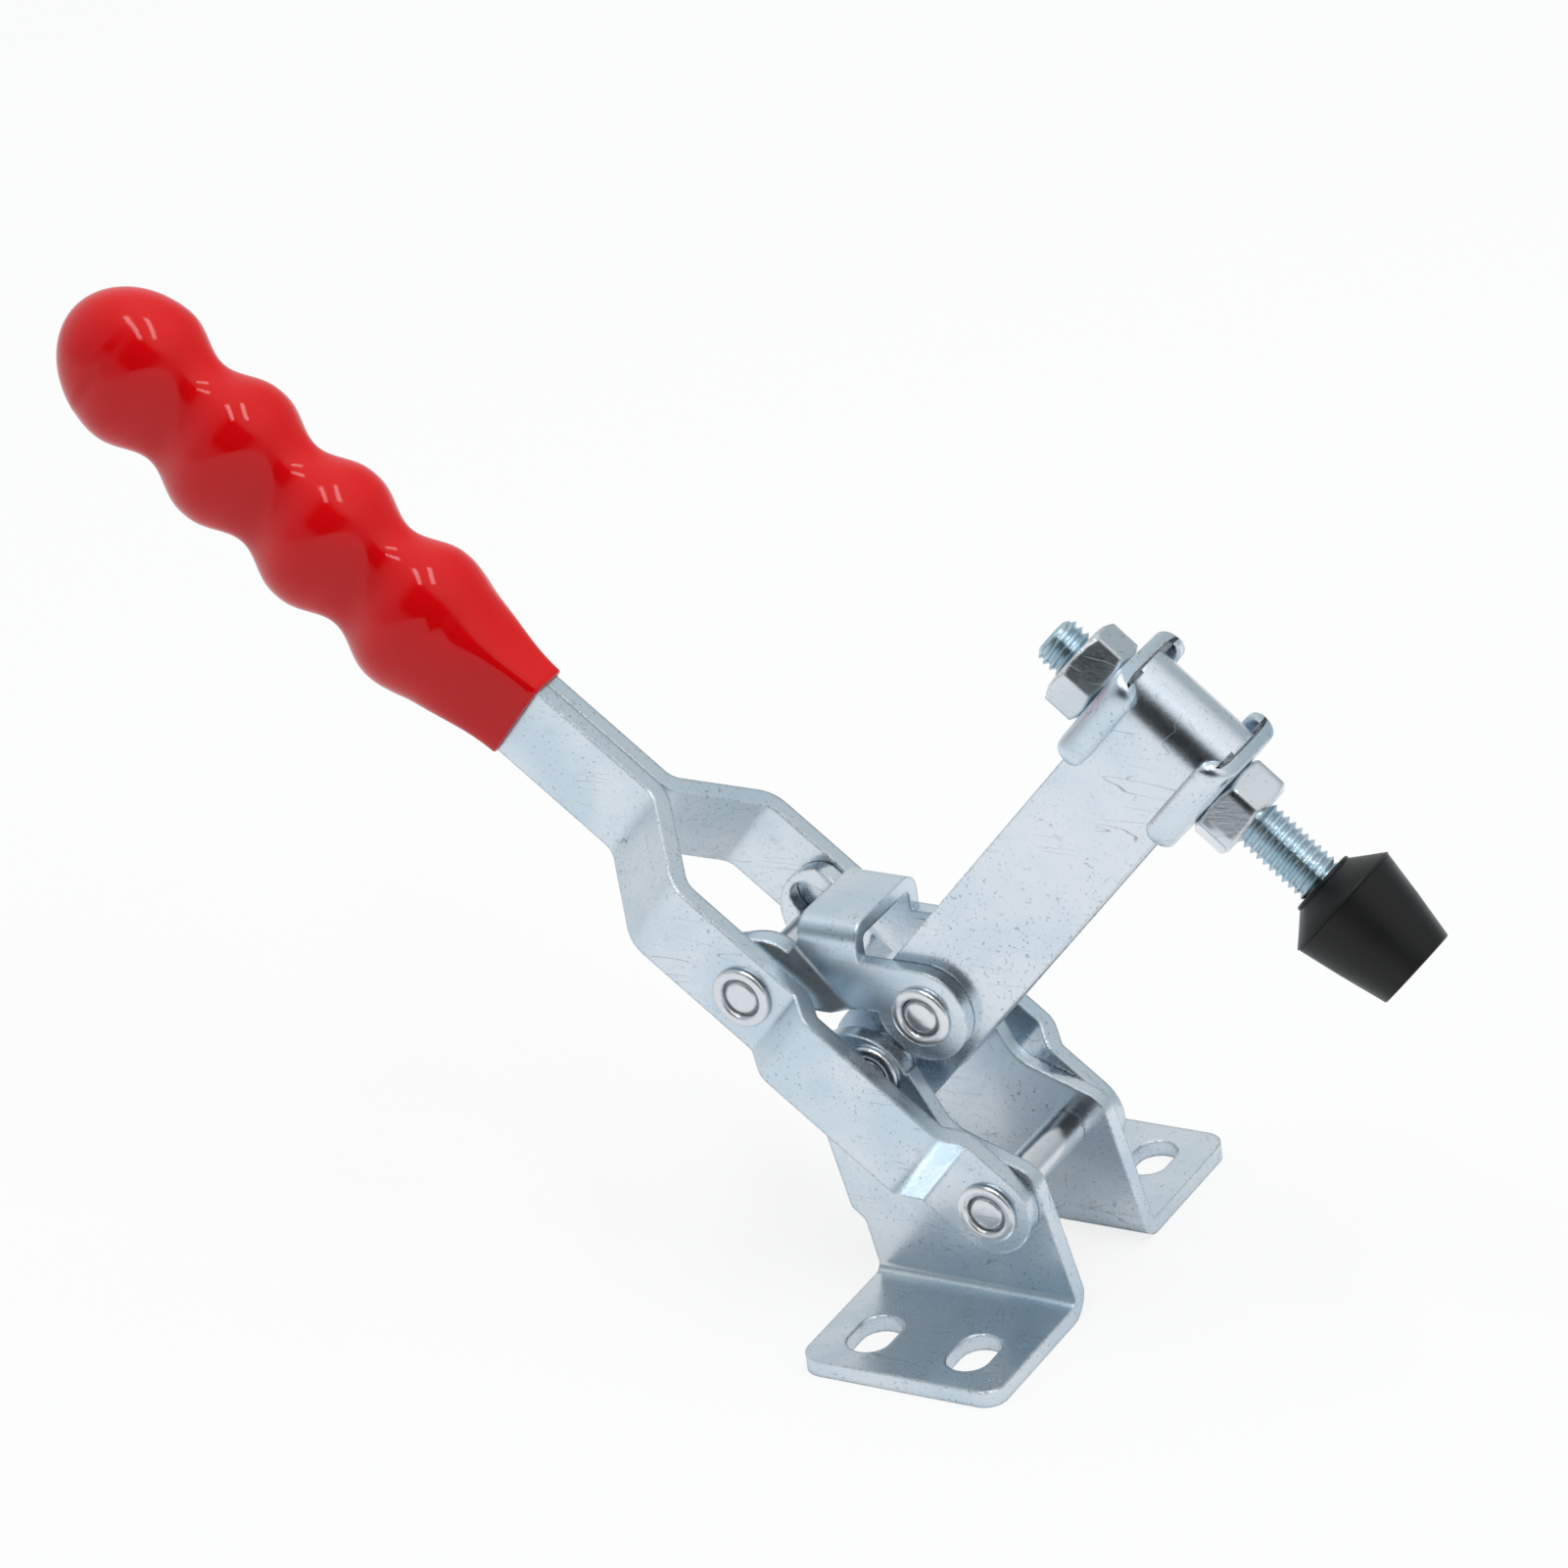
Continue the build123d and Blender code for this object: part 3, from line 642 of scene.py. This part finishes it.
def grip_size(d):
    """Half height, half thickness and squareness of the skin at a distance from its mouth."""
    if d < FIRST_BULGE:
        share = d / FIRST_BULGE
        swell = share**3 * (4 - 3 * share)
        high = MOUTH_HIGH + swell * (BULGE_HIGH - MOUTH_HIGH)
        wide = MOUTH_WIDE + smooth(0, FIRST_BULGE, d) * (BULGE_WIDE - MOUTH_WIDE)
        return high, wide, MOUTH_SQUARENESS - MOUTH_SQUARENESS_LOSS * smooth(2, 17, d)
    if d < LAST_BULGE:
        hollow = finger_wave(d) ** 1.25
        high = BULGE_HIGH - hollow * WAIST_LOSS_HIGH
        wide = BULGE_WIDE - hollow * WAIST_LOSS_WIDE
        return high, wide, SQUARENESS
    share = min(1.0, (d - LAST_BULGE) / (GRIP_END - GRIP_START - NUB_RISE - LAST_BULGE))
    taper = math.sqrt(max(0.0, 1 - share**2))
    return BULGE_HIGH * taper, BULGE_WIDE * taper, SQUARENESS - 0.3 * share


def grip_ring(d, inset=0.0):
    """One section of the skin, pinched on both sides between the beads."""
    high, wide, power = grip_size(d)
    high -= inset
    wide -= inset
    centre = Vector((0, 0, PIVOT_A[1])) + GRIP_WAY * (GRIP_START + d) + GRIP_ACROSS * GRIP_OFFSET
    ring = []
    for index in range(GRIP_COUNT):
        angle = 2 * math.pi * index / GRIP_COUNT
        c = math.cos(angle)
        s = math.sin(angle)
        y = wide * math.copysign(abs(c) ** (2 / power), c)
        w = high * math.copysign(abs(s) ** (2 / power), s)
        if FIRST_BULGE - 4 < d < LAST_BULGE + 4:
            pinch = SIDE_PINCH * finger_wave(d) * abs(c) ** 3
            y -= math.copysign(pinch, c) if abs(y) > pinch else 0
        ring.append(centre + Vector((0, y, 0)) + GRIP_ACROSS * w)
    return ring


def dipped_grip():
    """The soft grip's skin, with its thin rolled mouth round the two plates."""
    length = GRIP_END - GRIP_START - NUB_RISE
    steps = int((length - ROUNDED_END) / STATION_STEP)
    stations = [STATION_START + STATION_STEP * k for k in range(steps)]
    last = stations[-1]
    stations += [last + (length - last) * math.sin(math.radians(a)) for a in range(6, 90, 6)]
    mouth = ((1.0, 3.0), (0.95, 0.5), (0.75, 0.12), (0.45, 0.0), (0.15, 0.08))
    rings = [grip_ring(d, inset) for inset, d in mouth]
    rings += [grip_ring(d) for d in stations]
    rings.append(grip_ring(length - 0.01))
    points, faces = tube_mesh(rings)
    # The skin is left open inside the mouth, so the first cap goes
    faces = faces[:-2] + [faces[-1]]
    mesh_piece("dipped_grip", points, faces, red, "handle", "grip", 60)


def drip_nub():
    """The low drip nub at the grip's end, a little to one side."""
    middle = Vector((0, NUB_ASIDE, PIVOT_A[1])) + GRIP_WAY * (GRIP_END - NUB_BACK)
    middle += GRIP_ACROSS * NUB_UP
    rings = []
    for angle in range(-84, 85, 12):
        c, s = deg(angle)
        ring = []
        for step in range(24):
            round_c, round_s = deg(15 * step)
            out = GRIP_ACROSS * (NUB_HIGH * c * round_c) + Vector((0, NUB_WIDE * c * round_s, 0))
            ring.append(middle + out + GRIP_WAY * (NUB_DEEP * s))
        rings.append(ring)
    points, faces = tube_mesh(rings)
    mesh_piece("drip_nub", points, faces, red, "handle", "grip", 60)


# ---------------------------------------------------------------- washers
WASHER_HALF_LENGTH = 9.25
WASHER_SHEET = 2.2
WASHER_SIDE = 9.6
WASHER_TOP = 11.5
WASHER_HOLE = 4.2
CUTTER_START = 5.0
CUTTER_END = 14.0
FLANGE_END = 6.5
BEND_RADIUS = 2.9
CORNER_LENGTH = 3.0
CORNER_LIFT = 2.2
CORNER_DRAW = 1.6
EDGE_THINNING = 0.25
WASHER_SHARP = 40


def washer_section(x):
    """The washer's channel section at a place along the bar: its outer line, then its inner one."""
    near_end = max(0.0, abs(x) - (WASHER_HALF_LENGTH - CORNER_LENGTH)) / CORNER_LENGTH
    corner = 1 - math.sqrt(max(0.0, 1 - near_end**2))
    side = WASHER_SIDE - CORNER_DRAW * corner
    end = FLANGE_END + CORNER_LIFT * corner
    thin = EDGE_THINNING * (1 - math.sqrt(max(0.0, 1 - near_end**6)))
    bend_top = WASHER_TOP - BEND_RADIUS
    outer = [(side - 0.5, end), (side - thin, end + 0.5)]
    for angle in range(0, 91, 15):
        c, s = deg(angle)
        radius = BEND_RADIUS - thin
        outer.append((side - BEND_RADIUS + radius * c, bend_top + radius * s))
    inner_side = side - WASHER_SHEET
    inner = []
    for angle in range(90, -1, -30):
        c, s = deg(angle)
        radius = BEND_RADIUS - WASHER_SHEET + thin
        inner.append((inner_side - 0.7 + radius * c, bend_top + radius * s))
    inner += [(inner_side + thin, end + 0.5), (inner_side + 0.5, end)]
    section = outer + [(-y, z) for y, z in reversed(outer)]
    return section + [(-y, z) for y, z in reversed(inner)] + inner


def hole_cutter(sign):
    """A round bar through the washer's plate, used once to cut the hole."""
    profile = [(sign * CUTTER_START, WASHER_HOLE), (sign * CUTTER_END, WASHER_HOLE)]
    if sign < 0:
        profile.reverse()
    points, faces = tube_mesh(round_rings(profile, SPINDLE_FOOT, SPINDLE_WAY, SPINDLE_SIDE, 48))
    mesh = bpy.data.meshes.new("drill")
    mesh.from_pydata([tuple(c * MM for c in p) for p in points], [], faces)
    cutter = bpy.data.objects.new("drill", mesh)
    scene.collection.objects.link(cutter)
    return cutter


def flanged_washer(node, sign):
    """A pressed washer: a plate under the nut, bent over both sides of the bar, with its hole."""
    rings = []
    for step in range(-9, 10):
        x = WASHER_HALF_LENGTH * math.sin(math.radians(10 * step))
        middle = SPINDLE_FOOT + SPINDLE_SIDE * x
        section = washer_section(x)
        rings.append([middle + Vector((0, y, 0)) + SPINDLE_WAY * (sign * z) for y, z in section])
    if sign > 0:
        rings.reverse()
    points, faces = tube_mesh(rings)
    name = node + "_pressed"
    piece = mesh_piece(name, points, faces, sheet, "carriage", node, WASHER_SHARP)
    cutter = hole_cutter(sign)
    cut = piece.modifiers.new("hole", "BOOLEAN")
    cut.object = cutter
    cut.operation = "DIFFERENCE"
    cut.solver = "EXACT"
    bpy.context.view_layer.update()
    solved = piece.evaluated_get(bpy.context.evaluated_depsgraph_get())
    drilled = bpy.data.meshes.new_from_object(solved)
    piece.modifiers.clear()
    piece.data = drilled
    drilled.polygons.foreach_set("use_smooth", [True] * len(drilled.polygons))
    drilled.set_sharp_from_angle(angle=math.radians(WASHER_SHARP))
    bpy.data.objects.remove(cutter)


rivet("a", PIVOT_A, 16.10, "base")
rivet("b", PIVOT_B, 13.00, "base")
rivet("c", PIVOT_C, 9.90, "bar")
rivet("d", PIVOT_D, 16.10, "handle")
threaded_spindle()
nut("nut_upper", -18.0, 45.0)
nut("nut_lower", 11.5, 19.0)
rubber_tip()
dipped_grip()
drip_nub()
flanged_washer("washer_upper", -1)
flanged_washer("washer_lower", 1)

FINISHES = {
    "base_plate_near": sheet,
    "base_plate_far": sheet,
    "handle_plate_near": sheet,
    "handle_plate_far": sheet,
    "link": sheet,
    "bar": bar_skin,
    "bar_spacer_near": sheet,
    "bar_spacer_far": sheet,
    "washer_upper": sheet,
    "washer_lower": sheet,
    "grip": red,
    "tip": black,
}
for name, piece in nodes.items():
    finish = FINISHES.get(name, bright)
    if not piece.material_slots:
        piece.data.materials.append(finish)
    for place in piece.material_slots:
        place.material = finish
